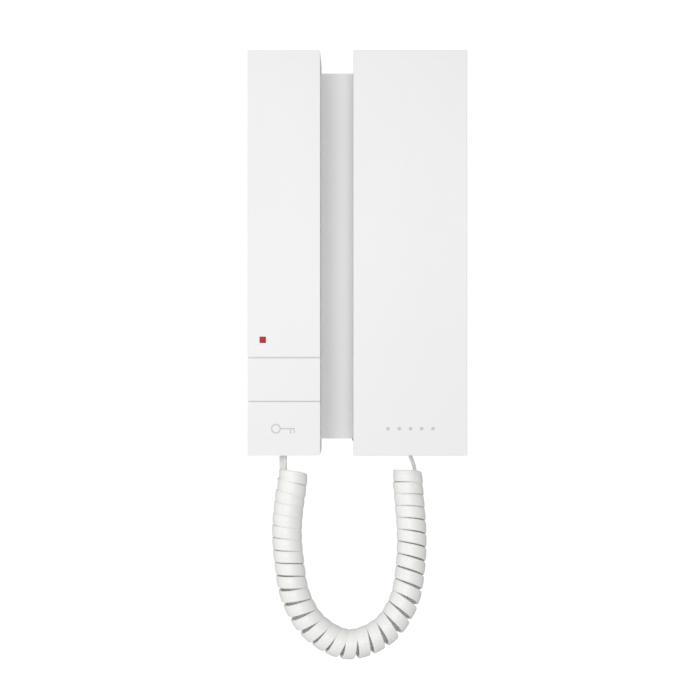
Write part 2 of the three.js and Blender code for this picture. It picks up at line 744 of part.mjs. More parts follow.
const MICROPHONE = { radius: 4.85, front: -17.3, back: -12, sides: 16 };
const BOOT = { wall: 2, front: -18.3, hole: 2 };

function microphone() {
  const { radius, front, back, sides } = MICROPHONE;
  return bar('y', radius, front, back, [0, MOUTH.z], sides);
}

function microphoneBoot() {
  const { radius, back, sides } = MICROPHONE;
  const centre = [0, MOUTH.z];
  return cut(
    bar('y', radius + BOOT.wall, BOOT.front, GASKET_BACK, centre, sides),
    bar('y', radius + GAP, BOOT.front - CUT, back + GAP, centre, sides),
    bar('y', BOOT.hole, back, GASKET_BACK + CUT, centre, SMALL_SIDES),
  );
}

const WEIGHT = { halfX: 12, back: -32.5, bottom: -30, top: -8 };
const MAGNET = { radius: 6, thickness: 3, sides: 20 };

function handsetWeight() {
  const { halfX, back, bottom, top } = WEIGHT;
  return block([-halfX, FRONT + WALL + GAP, bottom], [halfX, back, top]);
}

function handsetMagnet() {
  const back = HANDSET_BACK - WALL - GAP;
  return bar('y', MAGNET.radius, back - MAGNET.thickness, back, [0, 0], MAGNET.sides);
}

place(handset, 'handset_front', 'shell', handsetFront());
place(handset, 'handset_back', 'shell', handsetBack());
place(handset, 'handset_screw_upper', 'steel', handsetScrew(), [0, 0, HANDSET_SCREW.z]);
place(handset, 'handset_screw_lower', 'steel', handsetScrew(), [0, 0, -HANDSET_SCREW.z]);
place(handset, 'ear_speaker', 'dark', earSpeaker());
place(handset, 'ear_gasket', 'rubber', earGasket());
place(handset, 'microphone', 'steel', microphone());
place(handset, 'microphone_boot', 'rubber', microphoneBoot());
place(handset, 'handset_weight', 'steel', handsetWeight());
place(handset, 'handset_magnet', 'steel', handsetMagnet());

// ---------------------------------------------------------------- jacks, plugs and cord

const JACK = { halfX: 5, halfY: 5.2, top: -85, bottom: -99, slack: 0.3 };

/** A socket for the cord's plug, open at the bottom. */
function jack() {
  const [innerX, innerY] = [PLUG.halfX + JACK.slack, PLUG.halfY + JACK.slack];
  return cut(
    block([-JACK.halfX, -JACK.halfY, JACK.bottom], [JACK.halfX, JACK.halfY, JACK.top]),
    block([-innerX, -innerY, JACK.bottom - CUT], [innerX, innerY, PLUG.top + GAP]),
  );
}

const LATCH = { height: 1.2, root: 0.8, half: 1.6, short: 2 };

/** A small four-way plug with its latch tongue on the right. */
function plug() {
  const { halfX, halfY, top, bottom } = PLUG;
  const side = halfX - LATCH.height;
  const body = block([-halfX, -halfY, bottom], [side, halfY, top]);
  const latch = block([side - LATCH.root, -LATCH.half, bottom], [halfX, LATCH.half, top - LATCH.short]);
  return join(body, latch);
}

function lead(route, turn) {
  return swept(route, oval(CORD_WIDTH / 2, CORD_THICKNESS / 2, LEAD_SIDES, turn), LEAD_STEPS);
}

function coil() {
  return swept(COIL_ROUTE, oval(COIL_RADIUS, COIL_RADIUS, COIL_SIDES), COIL_STEPS);
}

place(group, 'base_jack', 'dark', jack(), [BASE_EXIT.x, BASE_EXIT.y, 0]);
place(group, 'base_plug', 'clear', plug(), [BASE_EXIT.x, BASE_EXIT.y, 0]);
place(group, 'handset_jack', 'dark', jack(), [HANDSET_EXIT.x, HANDSET_EXIT.y, 0]);
place(group, 'handset_plug', 'clear', plug(), [HANDSET_EXIT.x, HANDSET_EXIT.y, 0]);
place(group, 'cord_lead_base', 'cord', lead(BASE_LEAD_ROUTE, Math.PI / 3));
place(group, 'cord_coil', 'cord', coil());
place(group, 'cord_lead_handset', 'cord', lead(HANDSET_LEAD_ROUTE, Math.PI / 2));

export default group;
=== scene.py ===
"""The looks of a slimline wall phone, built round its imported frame.

Metres, in the frame's axes: the wall is the plane y = 0, the fronts face -Y and +Z is up.
"""

import json
import math

import bmesh
import bpy
import numpy as np
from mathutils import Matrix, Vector


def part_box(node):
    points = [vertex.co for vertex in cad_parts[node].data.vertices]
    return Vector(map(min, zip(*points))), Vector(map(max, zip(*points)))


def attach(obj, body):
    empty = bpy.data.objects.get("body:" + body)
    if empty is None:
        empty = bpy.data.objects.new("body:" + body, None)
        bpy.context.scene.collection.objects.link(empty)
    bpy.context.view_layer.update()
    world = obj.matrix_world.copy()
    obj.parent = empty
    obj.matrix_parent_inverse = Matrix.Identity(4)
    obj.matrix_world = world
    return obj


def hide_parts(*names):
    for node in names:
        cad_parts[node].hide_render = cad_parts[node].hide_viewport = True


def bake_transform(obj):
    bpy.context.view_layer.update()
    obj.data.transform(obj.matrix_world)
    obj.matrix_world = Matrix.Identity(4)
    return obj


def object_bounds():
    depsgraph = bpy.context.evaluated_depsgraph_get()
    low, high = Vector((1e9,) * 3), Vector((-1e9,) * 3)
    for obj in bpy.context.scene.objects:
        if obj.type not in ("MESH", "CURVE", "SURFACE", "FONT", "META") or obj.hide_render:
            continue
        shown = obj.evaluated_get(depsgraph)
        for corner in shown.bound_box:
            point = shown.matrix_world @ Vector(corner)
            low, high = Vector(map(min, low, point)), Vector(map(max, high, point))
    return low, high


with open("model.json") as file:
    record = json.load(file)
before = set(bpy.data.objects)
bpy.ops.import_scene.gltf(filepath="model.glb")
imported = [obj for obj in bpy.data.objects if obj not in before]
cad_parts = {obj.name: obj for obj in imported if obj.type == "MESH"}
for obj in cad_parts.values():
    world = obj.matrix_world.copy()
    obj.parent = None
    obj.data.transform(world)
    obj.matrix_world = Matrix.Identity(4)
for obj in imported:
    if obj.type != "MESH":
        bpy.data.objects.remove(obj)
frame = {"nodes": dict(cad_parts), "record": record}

cad_low, cad_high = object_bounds()
scene = bpy.context.scene
MM = 0.001

# ------------------------------------------------------------------ camera

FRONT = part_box("handset_front")[0].y
CAMERA_DISTANCE = 0.71  # from the front faces
CAMERA_X = -0.0037
CAMERA_Z = -0.04865
FOCAL_LENGTH = 73.0


def make_camera():
    data = bpy.data.cameras.new("camera")
    data.lens = FOCAL_LENGTH
    camera = bpy.data.objects.new("camera", data)
    camera.location = (CAMERA_X, FRONT - CAMERA_DISTANCE, CAMERA_Z)
    camera.rotation_euler = (math.pi / 2, 0, 0)
    scene.collection.objects.link(camera)
    scene.camera = camera


make_camera()

# ------------------------------------------------------------------ node materials


def new_material(name):
    """A material with a plain Principled shader, and the place that its texture is laid out from."""
    material = bpy.data.materials.new(name)
    material.use_nodes = True
    tree = material.node_tree
    shader = tree.nodes["Principled BSDF"]
    place = tree.nodes.new("ShaderNodeTexCoord").outputs["Object"]
    return material, tree, shader, place


def noise(tree, place, scale, detail=3.0, stretch=None):
    """Noise with so many cells to the metre, stretched along the axes if asked."""
    if stretch is not None:
        mapping = tree.nodes.new("ShaderNodeMapping")
        mapping.inputs["Scale"].default_value = stretch
        tree.links.new(place, mapping.inputs["Vector"])
        place = mapping.outputs["Vector"]
    node = tree.nodes.new("ShaderNodeTexNoise")
    node.inputs["Scale"].default_value = scale
    node.inputs["Detail"].default_value = detail
    tree.links.new(place, node.inputs["Vector"])
    return node.outputs["Fac"]


def between(tree, value, low, high):
    """A value from 0 to 1, spread between two numbers."""
    node = tree.nodes.new("ShaderNodeMapRange")
    node.inputs["To Min"].default_value = low
    node.inputs["To Max"].default_value = high
    tree.links.new(value, node.inputs["Value"])
    return node.outputs["Result"]


def ramp(tree, value, stops):
    """Colours along a value: each stop is (place, colour)."""
    node = tree.nodes.new("ShaderNodeValToRGB")
    elements = node.color_ramp.elements
    elements[0].position, elements[0].color = stops[0][0], (*stops[0][1], 1)
    elements[1].position, elements[1].color = stops[-1][0], (*stops[-1][1], 1)
    for position, colour in stops[1:-1]:
        elements.new(position).color = (*colour, 1)
    tree.links.new(value, node.inputs["Fac"])
    return node.outputs["Color"]


def bump(tree, shader, height, distance, strength=1.0):
    """Adds a bump of so many metres on top of those that the shader has."""
    node = tree.nodes.new("ShaderNodeBump")
    node.inputs["Distance"].default_value = distance
    node.inputs["Strength"].default_value = strength
    tree.links.new(height, node.inputs["Height"])
    normal = shader.inputs["Normal"]
    if normal.is_linked:
        tree.links.new(normal.links[0].from_socket, node.inputs["Normal"])
    tree.links.new(node.outputs["Normal"], normal)


def shade(colour, factor):
    return tuple(channel * factor for channel in colour)


def moulded(name, colour, roughness, grain=2600.0, depth=0.006 * MM, mottle=0.012, coat=0.0):
    """Moulded plastic: a fine spark-eroded grain, faint flow in its colour and a roughness that varies."""
    material, tree, shader, place = new_material(name)
    flow = noise(tree, place, 24.0, 2.0, (1.0, 1.0, 0.4))
    speck = noise(tree, place, 900.0, 2.0)
    tint = ramp(tree, flow, [(0.3, shade(colour, 1 - mottle)), (0.7, shade(colour, 1 + mottle / 2))])
    tree.links.new(tint, shader.inputs["Base Color"])
    tree.links.new(between(tree, speck, roughness - 0.05, roughness + 0.05), shader.inputs["Roughness"])
    shader.inputs["Coat Weight"].default_value = coat
    bump(tree, shader, noise(tree, place, grain, 2.0), depth)
    bump(tree, shader, noise(tree, place, grain / 9, 2.0), depth)
    return material


def metal(name, colour, roughness):
    """Zinc plate: bright, with fine drawn lines and a cloudy roughness."""
    material, tree, shader, place = new_material(name)
    cloud = noise(tree, place, 600.0, 4.0)
    drawn = noise(tree, place, 1500.0, 2.0, (1.0, 1.0, 0.08))
    tint = ramp(tree, cloud, [(0.3, shade(colour, 0.86)), (0.7, colour)])
    tree.links.new(tint, shader.inputs["Base Color"])
    tree.links.new(between(tree, cloud, roughness - 0.1, roughness + 0.1), shader.inputs["Roughness"])
    shader.inputs["Metallic"].default_value = 1.0
    bump(tree, shader, drawn, 0.01 * MM)
    return material


def circuit_board(name):
    """Green solder resist over copper tracks, with the weave of the laminate below."""
    material, tree, shader, place = new_material(name)
    tracks = tree.nodes.new("ShaderNodeTexBrick")
    tracks.inputs["Scale"].default_value = 110.0
    tracks.inputs["Mortar Size"].default_value = 0.05
    tracks.inputs["Mortar Smooth"].default_value = 0.2
    tracks.inputs["Color1"].default_value = (0.012, 0.12, 0.045, 1)
    tracks.inputs["Color2"].default_value = (0.014, 0.14, 0.05, 1)
    tracks.inputs["Mortar"].default_value = (0.06, 0.24, 0.08, 1)
    turned = tree.nodes.new("ShaderNodeMapping")
    turned.inputs["Rotation"].default_value = (math.pi / 2, 0, 0)
    tree.links.new(place, turned.inputs["Vector"])
    tree.links.new(turned.outputs["Vector"], tracks.inputs["Vector"])
    tree.links.new(tracks.outputs["Color"], shader.inputs["Base Color"])
    weave = noise(tree, place, 1800.0, 1.0)
    tree.links.new(between(tree, weave, 0.25, 0.4), shader.inputs["Roughness"])
    bump(tree, shader, tracks.outputs["Fac"], 0.03 * MM)
    return material


def cord_jacket(name, colour):
    """Soft warm white jacket: satin, with a very fine skin."""
    material, tree, shader, place = new_material(name)
    flow = noise(tree, place, 60.0, 2.0)
    tint = ramp(tree, flow, [(0.3, shade(colour, 0.985)), (0.7, colour)])
    tree.links.new(tint, shader.inputs["Base Color"])
    skin = noise(tree, place, 1400.0, 3.0)
    tree.links.new(between(tree, skin, 0.34, 0.48), shader.inputs["Roughness"])
    bump(tree, shader, skin, 0.012 * MM)
    return material


def clear_plastic(name, colour, roughness, through, sheen=0.5):
    """Milky clear plastic with faint flow lines."""
    material, tree, shader, place = new_material(name)
    flow = noise(tree, place, 220.0, 3.0, (1.0, 1.0, 0.3))
    tint = ramp(tree, flow, [(0.3, shade(colour, 0.94)), (0.7, colour)])
    tree.links.new(tint, shader.inputs["Base Color"])
    tree.links.new(between(tree, flow, roughness, roughness + 0.12), shader.inputs["Roughness"])
    shader.inputs["Transmission Weight"].default_value = through
    shader.inputs["Specular IOR Level"].default_value = sheen
    bump(tree, shader, flow, 0.02 * MM)
    return material


WHITE = (0.86, 0.862, 0.866)
LOOKS = {
    "shell": moulded("white_shell", WHITE, 0.42),
    "plate": moulded("grey_plate", (0.7, 0.7, 0.68), 0.55, grain=1600.0, depth=0.012 * MM, mottle=0.03),
    "cord": cord_jacket("cord_jacket", (0.92, 0.915, 0.895)),
    "lens": clear_plastic("red_lens", (0.47, 0.009, 0.004), 0.35, 0.0, sheen=0.25),
    "board": circuit_board("circuit_board"),
    "dark_plastic": moulded("black_plastic", (0.022, 0.022, 0.025), 0.5, mottle=0.2),
    "terminal": moulded("terminal_green", (0.05, 0.25, 0.1), 0.45, mottle=0.1),
    "clear": clear_plastic("clear_plastic", (0.82, 0.84, 0.84), 0.18, 0.6),
    "rubber": moulded("black_rubber", (0.03, 0.03, 0.032), 0.8, grain=1100.0, depth=0.03 * MM, mottle=0.2),
    "steel": metal("zinc_steel", (0.62, 0.63, 0.65), 0.32),
    # grey look: real print on the handset's dots; on the key picture it is painted shade, standing in for
    # the shade in an engraved picture's grooves
    "print_and_painted_shade": moulded("grey_print_and_painted_shade", (0.62, 0.62, 0.62), 0.5, mottle=0.05),
}

# ------------------------------------------------------------------ mesh helpers

SHARP_ANGLE = math.radians(40)  # from which two faces meet in an edge


def new_piece(name, mesh, body, slot, look=None):
    """An object for a mesh that is in place, riding on a body."""
    mesh.materials.clear()
    mesh.materials.append(LOOKS[look or slot])
    piece = bpy.data.objects.new(name, mesh)
    scene.collection.objects.link(piece)
    if body is not None:
        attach(piece, body)
    return piece


def skin(name, rows, capped=True):
    """A mesh over rows of points, row after row, closed round each row."""
    count = len(rows[0])
    vertices = [tuple(point) for row in rows for point in row]
    faces = []
    for row in range(len(rows) - 1):
        for i in range(count):
            a, b = row * count + i, row * count + (i + 1) % count
            faces.append((a, b, b + count, a + count))
    if capped:
        faces.append(tuple(reversed(range(count))))
        faces.append(tuple((len(rows) - 1) * count + i for i in range(count)))
    mesh = bpy.data.meshes.new(name)
    mesh.from_pydata(vertices, [], faces)
    outward(mesh)
    return mesh


def outward(mesh):
    """Turns the faces outwards and shades them smoothly, but for edges where they meet steeply."""
    shape = bmesh.new()
    shape.from_mesh(mesh)
    bmesh.ops.recalc_face_normals(shape, faces=shape.faces)
    shape.to_mesh(mesh)
    shape.free()
    mesh.shade_smooth()
    mesh.set_sharp_from_angle(angle=SHARP_ANGLE)


# ------------------------------------------------------------------ cord

CORD_WIDTH = 5.9 * MM
CORD_THICKNESS = 1.9 * MM
SECTION_POINTS = 44
CORE_GROOVE = 0.13  # depth of the grooves between the cores, of half the thickness
STEPS_PER_TURN = 36
ROUTE_STEPS = 40  # from one point of the coil's route to the next
LEAD_STEPS = 5  # from one point of a lead's route to the next
RADIUS_AT = ((0, 6.2), (0.016, 6.25), (0.05, 6.65), (1, 6.65))  # mm, of the middle of the cord
ROUTE_TURN = -0.464  # turns at the route's start: 0 is the front of the first turn
COIL_TURNS = (-0.22, 31.14)  # where the wound stretch starts and ends
PITCH_AT = (  # mm from turn to turn
    (0, 5.8),
    (0.12, 5.7),
    (0.35, 7.3),
    (0.48, 6.1),
    (0.6, 7.5),
    (0.85, 6.45),
    (0.96, 6.0),
    (1, 5.2),
)
BASE_BRIDGE = (1.4 * MM, 8)  # pull and steps of the curve that joins a lead to the coil
HANDSET_BRIDGE = (1.2 * MM, 6)
BASE_LEAD_TURN = math.radians(58)  # of its flat side, away from the front
HANDSET_LEAD_TURN = math.radians(3)  # of its narrow side, away from the front
LEAN_AT = ((0, 6.6), (1, 11))  # degrees that the turns lean, front up
TILT_AT = (  # degrees sideways
    (0, 12),
    (0.012, 5),
    (0.15, 2),
    (0.3, 0),
    (0.55, 0),
    (0.65, -3),
    (0.85, -2),
    (1, 7),
)
FRONTWARDS = np.array((0.0, -1.0, 0.0))

COIL_ROUTE = (
    (-0.0323, -0.0311, -0.1102),
    (-0.0326, -0.0310, -0.1141),
    (-0.0344, -0.0306, -0.1251),
    (-0.0357, -0.0300, -0.1402),
    (-0.0346, -0.0294, -0.1563),
    (-0.0312, -0.0288, -0.1744),
    (-0.0216, -0.0280, -0.1900),
    (-0.0045, -0.0274, -0.1986),
    (0.0134, -0.0272, -0.1919),
    (0.0236, -0.0272, -0.1770),
    (0.0272, -0.0272, -0.1580),
    (0.0277, -0.0272, -0.1420),
    (0.0266, -0.0273, -0.1260),
    (0.0257, -0.0276, -0.1150),
    (0.0257, -0.0276, -0.1093),
)
BASE_LEAD_ROUTE = (
    (-0.0378, -0.0263, -0.1000),
    (-0.0378, -0.0263, -0.1016),
    (-0.0378, -0.0263, -0.1055),
    (-0.0377, -0.0264, -0.1093),
)
HANDSET_LEAD_ROUTE = (
    (0.0288, -0.0233, -0.1072),
    (0.0280, -0.0244, -0.1050),
    (0.0271, -0.0257, -0.1026),
    (0.0271, -0.0257, -0.1016),
    (0.0271, -0.0257, -0.1000),
)
BASE_TUCK = (  # behind the front of the first turn
    (-0.0376, -0.0266, -0.1112),
    (-0.0380, -0.0278, -0.1126),
)
HANDSET_TUCK = (  # inside the last turn, behind its front
    (0.0193, -0.0272, -0.1126),
    (0.0206, -0.0242, -0.1131),
    (0.0226, -0.0231, -0.1134),
    (0.0254, -0.0229, -0.1134),
    (0.0279, -0.0228, -0.1126),
    (0.0293, -0.0225, -0.1112),
    (0.0294, -0.0226, -0.1093),
)


def spline(points, steps):
    """A centripetal Catmull-Rom curve through points, with so many steps to a span."""
    knots = np.array(points, float)
    knots = np.vstack([2 * knots[0] - knots[1], knots, 2 * knots[-1] - knots[-2]])
    gaps = np.sqrt(np.linalg.norm(np.diff(knots, axis=0), axis=1))
    t = (np.arange(steps) / steps)[:, None]
    made = []
    for i in range(1, len(knots) - 2):
        before, start, end, after = knots[i - 1 : i + 3]
        d0, d1, d2 = gaps[i - 1 : i + 2]
        leave = d1 * ((start - before) / d0 - (end - before) / (d0 + d1)) + (end - start)
        arrive = d1 * ((after - end) / d2 - (after - start) / (d1 + d2)) + (end - start)
        a = 2 * start - 2 * end + leave + arrive
        b = -3 * start + 3 * end - 2 * leave - arrive
        made.append(a * t**3 + b * t**2 + leave * t + start)
    made.append(knots[-2][None])
    return np.vstack(made)


def unit(vectors):
    return vectors / np.linalg.norm(vectors, axis=-1, keepdims=True)


def across(vectors, along):
    """The parts of vectors at right angles to along, at length 1."""
    return unit(vectors - (vectors * along).sum(-1, keepdims=True) * along)


def lengths_of(points):
    steps = np.linalg.norm(np.diff(points, axis=0), axis=1)
    return np.concatenate([[0], np.cumsum(steps)])


def along_coil(table, share):
    """A value that changes along the coil, read from a short list of (share of its length, value)."""
    places, values = zip(*table)
    return np.interp(share, places, values)


def coil_strand():
    """The middle line of the wound stretch and the direction of the cord's width, from base to handset."""
    route = spline(COIL_ROUTE, ROUTE_STEPS)
    at = lengths_of(route)
    pitch = along_coil(PITCH_AT, at[1:] / at[-1]) * MM
    turns = ROUTE_TURN + np.concatenate([[0], np.cumsum(np.diff(at) / pitch)])
    first, last = COIL_TURNS
    wanted = np.linspace(first, last, int((last - first) * STEPS_PER_TURN) + 1)
    along = np.interp(wanted, turns, at)
    middle = np.stack([np.interp(along, at, route[:, axis]) for axis in range(3)], 1)
    heading = unit(np.gradient(middle, axis=0))
    front = across(np.broadcast_to(FRONTWARDS, middle.shape), heading)
    inside = np.cross(front, heading)
    angle = (2 * math.pi * wanted)[:, None]
    lean = np.tan(np.radians(along_coil(LEAN_AT, along / at[-1])))[:, None]
    tilt = np.tan(np.radians(along_coil(TILT_AT, along / at[-1])))[:, None]
    rise = lean * heading[:, 2:] * np.cos(angle) - tilt * np.sin(angle)
    radius = along_coil(RADIUS_AT, along / at[-1])[:, None] * MM
    offset = radius * (np.cos(angle) * front + np.sin(angle) * inside + rise * heading)
    strand = middle + offset
    forward = unit(np.gradient(strand, axis=0))
    width = np.cross(forward, unit(offset))
    width *= np.sign((width * heading).sum(1, keepdims=True))
    return strand, across(width, forward)


def bridge(start, end, leave, arrive, pull, steps):
    """A smooth curve between two points, out of one direction and into another, without its ends."""
    t = (np.arange(1, steps) / steps)[:, None]
    a, b = start + leave * pull, end - arrive * pull
    return (1 - t) ** 3 * start + 3 * (1 - t) ** 2 * t * a + 3 * (1 - t) * t**2 * b + t**3 * end


def section():
    """The cord's outline, as (across its width, through its thickness): four cores side by side."""
    half_width, half_thick = CORD_WIDTH / 2, CORD_THICKNESS / 2
    points = []
    for i in range(SECTION_POINTS):
        turn = 2 * math.pi * (i + 0.5) / SECTION_POINTS
        x = math.copysign(abs(math.cos(turn)) ** 0.62, math.cos(turn))
        y = math.copysign(abs(math.sin(turn)) ** 0.45, math.sin(turn))
        groove = 0.5 + 0.5 * math.cos(4 * math.pi * x)
        y *= 1 - CORE_GROOVE * groove * (1 - abs(x) ** 6)
        points.append((half_width * x, half_thick * y))
    return points


def make_cord():
    """The flat strand: a lead from the base, the wound stretch, and a lead to the handset."""
    coil, coil_width = coil_strand()
    coil_heading = unit(np.gradient(coil, axis=0))
    base = spline(BASE_LEAD_ROUTE + BASE_TUCK, LEAD_STEPS)
    handset = spline(HANDSET_TUCK + HANDSET_LEAD_ROUTE, LEAD_STEPS)
    ends = [unit(base[-1] - base[-2]), unit(handset[1] - handset[0])]
    first = bridge(base[-1], coil[0], ends[0], coil_heading[0], *BASE_BRIDGE)
    last = bridge(coil[-1], handset[0], coil_heading[-1], ends[1], *HANDSET_BRIDGE)
    strand = np.vstack([base, first, coil, last, handset])
    forward = unit(np.gradient(strand, axis=0))
    outwards = np.array((-math.cos(BASE_LEAD_TURN), math.sin(BASE_LEAD_TURN), 0.0))
    backwards = np.array((0.0, 1.0, 0.0))
    tuck = LEAD_STEPS * len(BASE_TUCK)  # steps in which it turns, behind the first turn
    edgewise = np.array((-math.sin(HANDSET_LEAD_TURN), -math.cos(HANDSET_LEAD_TURN), 0.0))
    plain = LEAD_STEPS * (len(HANDSET_LEAD_ROUTE) - 1)  # steps of the lead that isn't twisted
    width = np.vstack(
        [
            np.broadcast_to(outwards, (len(base) - tuck, 3)),
            np.linspace(outwards, backwards, tuck),
            np.linspace(backwards, coil_width[0], len(first)),
            coil_width,
            np.linspace(coil_width[-1], edgewise, len(last) + len(handset) - plain),
            np.broadcast_to(edgewise, (plain, 3)),
        ]
    )
    width = across(width, forward)
    through = np.cross(forward, width)
    outline = section()
    rows = [
        [strand[i] + x * width[i] + y * through[i] for x, y in outline]
        for i in range(len(strand))
    ]
    mesh = skin("cord", rows)
    cord = new_piece("cord", mesh, None, "cord")
    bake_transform(cord)
    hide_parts("cord_lead_base", "cord_coil", "cord_lead_handset")


make_cord()

# ------------------------------------------------------------------ CAD nodes: soft edges and materials

EDGES = {  # mm
    "base_shell": 0.35,
    "wall_plate": 0.4,
    "column_fascia": 0.25,
    "key_upper": 0.25,
    "key_lower": 0.25,
    "handset_front": 0.3,
    "handset_back": 0.35,
    "cradle_pad_upper": 0.4,
    "cradle_pad_lower": 0.4,
    "hook_plunger": 0.4,
}
SMALL_EDGE = 0.12  # of the pieces that aren't listed
EDGE_SEGMENTS = 3
JOIN_DISTANCE = 0.001 * MM
FLAT_ANGLE = math.radians(1)  # up to which faces count as one


def whole_mesh_group():
    """A node group that joins an imported mesh's faces into one skin and shades it smoothly."""
    group = bpy.data.node_groups.new("whole_mesh", "GeometryNodeTree")
    group.interface.new_socket("Geometry", in_out="INPUT", socket_type="NodeSocketGeometry")
    group.interface.new_socket("Geometry", in_out="OUTPUT", socket_type="NodeSocketGeometry")
    merge = group.nodes.new("GeometryNodeMergeByDistance")
    merge.inputs["Distance"].default_value = JOIN_DISTANCE
    last = merge.outputs["Geometry"]
    group.links.new(group.nodes.new("NodeGroupInput").outputs[0], merge.inputs["Geometry"])
    for attribute in ("custom_normal", "sharp_edge", "sharp_face"):
        forget = group.nodes.new("GeometryNodeRemoveAttribute")
        forget.inputs["Name"].default_value = attribute
        group.links.new(last, forget.inputs["Geometry"])
        last = forget.outputs["Geometry"]
    group.links.new(last, group.nodes.new("NodeGroupOutput").inputs[0])
    return group


def soften(node, width, whole):
    """Rounds a CAD node's edges with modifiers, which leave its own mesh as it is."""
    joined = node.modifiers.new("join", "NODES")
    joined.node_group = whole
    flat = node.modifiers.new("flatten", "DECIMATE")
    flat.decimate_type = "DISSOLVE"
    flat.angle_limit = FLAT_ANGLE
    bevel = node.modifiers.new("edges", "BEVEL")
    bevel.width = width
    bevel.segments = EDGE_SEGMENTS
    bevel.limit_method = "ANGLE"
    bevel.angle_limit = SHARP_ANGLE
    bevel.harden_normals = True
    node.modifiers.new("shading", "WEIGHTED_NORMAL").keep_sharp = True


def finish_cad_nodes():
    """Gives every CAD node its look and its soft edges; the pin frame is white like the shell."""
    whole = whole_mesh_group()
    looks = {part["node"]: part["material_slot"] for part in frame["record"]["subparts"]}
    looks["key_frame"] = "shell"
    for name, node in frame["nodes"].items():
        node.material_slots[0].material = LOOKS[looks[name]]
        soften(node, EDGES.get(name, SMALL_EDGE) * MM, whole)


finish_cad_nodes()

# ------------------------------------------------------------------ small details

RELIEF = 0.12 * MM  # of the key picture and the dots
SHOULDER = ((1.0, -0.4), (1.0, 0.5), (0.7, 1.0))  # a line's side: of half its width, of the relief
KEY_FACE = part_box("key_lower")[0].y
SYMBOL = Vector((-0.0408, KEY_FACE, -0.0880))  # middle of the key picture's ring
RING_RADIUS = 2.15 * MM
RING_POINTS = 48
STROKE = 0.3 * MM  # half the width of its lines
BAR_END_POINTS = 9
SHAFT_GAP = 0.45 * MM  # from the middle of the ring's line
SHAFT_LENGTH = 6.6 * MM
TOOTH_GAP = 0.72 * MM  # from the middle of the shaft
TEETH = ((0.72, 1.5 * MM), (1.0, 1.3 * MM))  # share of the shaft, length
HANDSET_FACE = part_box("handset_front")[0].y
DOTS = Vector((0.0265, HANDSET_FACE, -0.0880))  # middle of the row
DOT_COUNT = 5
DOT_PITCH = 5.6 * MM
DOT_RADIUS = 0.9 * MM
DOT_POINTS = 24
DOT_OUTLINE = (  # of its radius, of the relief
    (1.0, -0.4),
    (1.0, 0.3),
    (0.9, 0.8),
    (0.6, 1.2),
    (0.25, 1.4),
)
LENS_MARGIN = 0.26 * MM  # that the lens stands out round its light guide
LENS_DEPTH = 1.0 * MM
LENS_POINTS = 40
LENS_SQUARENESS = 0.35
LENS_OUTLINE = (  # of its half width, of its depth
    (0.88, 1.0),
    (0.97, 0.1),
    (1.0, 0.0),
    (0.94, -0.08),
    (0.66, -0.16),
    (0.33, -0.2),
)
RIB_DEPTH = 0.9 * MM  # of the rib's top, behind the faces
STEP_DEPTH = 1.1 * MM  # of the keys' stepped edges, behind the faces
STEP_THICKNESS = 0.4 * MM
STRIP_EDGE = 0.05 * MM  # the strips' clearance and chamfer


def loop_of(count, squareness=1.0):
    """Points round a circle, or round a square with soft corners if squareness is well below 1."""
    made = []
    for i in range(count):
        turn = 2 * math.pi * (i + 0.5) / count
        x = math.copysign(abs(math.cos(turn)) ** squareness, math.cos(turn))
        z = math.copysign(abs(math.sin(turn)) ** squareness, math.sin(turn))
        made.append(Vector((x, 0, z)))
    return made


def stand_out(height):
    """The way forward from a front face, by so many metres."""
    return Vector((0, -height, 0))


def bar(start, end):
    """Rows round a bar with round ends and soft shoulders, on a front face."""
    way = (end - start).normalized()
    side = way.cross(Vector((0, 1, 0)))
    outline = []
    for centre, sign in ((end, 1), (start, -1)):
        for i in range(BAR_END_POINTS):
            turn = math.pi * (i / (BAR_END_POINTS - 1) - 0.5)
            outline.append((centre, sign * (math.cos(turn) * way + math.sin(turn) * side)))
    return [
        [centre + STROKE * reach * out + stand_out(RELIEF * up) for centre, out in outline]
        for reach, up in SHOULDER
    ]


def ring():
    """Rows round the key picture's ring, whose outline closes on itself."""
    inner = [(-reach, up) for reach, up in SHOULDER]
    outline = inner + list(reversed(SHOULDER)) + inner[:1]
    circle = loop_of(RING_POINTS)
    return [
        [SYMBOL + (RING_RADIUS + STROKE * out) * way + stand_out(RELIEF * up) for way in circle]
        for out, up in outline
    ]


def joined(name, meshes):
    """One mesh out of several."""
    shape = bmesh.new()
    for mesh in meshes:
        shape.from_mesh(mesh)
    bmesh.ops.remove_doubles(shape, verts=shape.verts, dist=JOIN_DISTANCE)
    mesh = bpy.data.meshes.new(name)
    shape.to_mesh(mesh)
    shape.free()
    outward(mesh)
    return mesh


def make_key_symbol():
    """A plain picture of a key on the door-opening key: a ring, a shaft and two teeth."""
    start = SYMBOL + Vector((RING_RADIUS + SHAFT_GAP, 0, 0))
    end = start + Vector((SHAFT_LENGTH, 0, 0))
    parts = [skin("ring", ring(), capped=False), skin("shaft", bar(start, end))]
    for share, length in TEETH:
        root = start.lerp(end, share) - Vector((0, 0, TOOTH_GAP))
        parts.append(skin("tooth", bar(root, root - Vector((0, 0, length)))))
    # the key picture's grey is painted shade, standing in for the shade in the grooves of an engraved
    # picture
    new_piece("key_symbol", joined("key_symbol", parts), "lower_key", "shell", "print_and_painted_shade")


def make_handset_dots():
    """A row of small domed dots near the foot of the handset."""
    dots = []
    circle = loop_of(DOT_POINTS)
    for i in range(DOT_COUNT):
        centre = DOTS + Vector(((i - (DOT_COUNT - 1) / 2) * DOT_PITCH, 0, 0))
        rows = [
            [centre + DOT_RADIUS * reach * way + stand_out(RELIEF * up) for way in circle]
            for reach, up in DOT_OUTLINE
        ]
        dots.append(skin("dot", rows))
    new_piece("handset_dots", joined("handset_dots", dots), "handset", "shell", "print_and_painted_shade")


